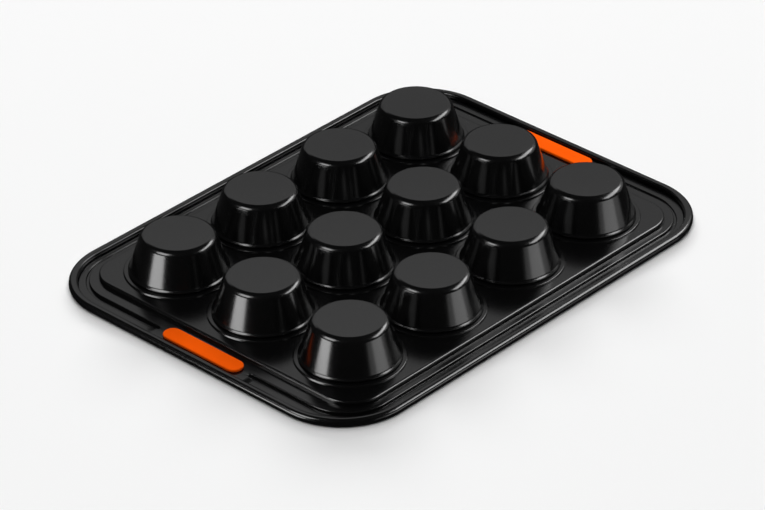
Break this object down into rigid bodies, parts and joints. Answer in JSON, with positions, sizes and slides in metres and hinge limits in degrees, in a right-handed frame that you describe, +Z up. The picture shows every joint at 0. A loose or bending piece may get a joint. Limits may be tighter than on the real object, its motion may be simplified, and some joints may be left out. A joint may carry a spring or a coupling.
{
  "type": "muffin pan",
  "caption": "Rectangular non-stick muffin pan with rows of tapered round cups, a stepped tray with a rolled rim, and a silicone grip in each short end; lies upside down, cups up.",
  "frame": {"origin": "on the table under the middle of the pan, which lies upside down on its rolled rim", "axes": "+Z up, out of the closed bottoms of the cups; +X along the long side; +Y across it"},
  "size_m": [0.4, 0.3, 0.0377],
  "materials": {
    "coated_steel": "smooth semi-gloss black non-stick coating on pressed carbon steel",
    "wire_steel": "plain drawn steel wire, hidden in the rolled rim",
    "silicone": "satin orange heat-proof silicone"
  },
  "bodies": {
    "root": {"tray": "coated_steel", "rim_wire": "wire_steel", "cup_r1_c1": "coated_steel", "cup_r1_c2": "coated_steel", "cup_r1_c3": "coated_steel", "cup_r1_c4": "coated_steel", "cup_r2_c1": "coated_steel", "cup_r2_c2": "coated_steel", "cup_r2_c3": "coated_steel", "cup_r2_c4": "coated_steel", "cup_r3_c1": "coated_steel", "cup_r3_c2": "coated_steel", "cup_r3_c3": "coated_steel", "cup_r3_c4": "coated_steel", "left_grip": "silicone", "right_grip": "silicone"}
  },
  "joints": []
}
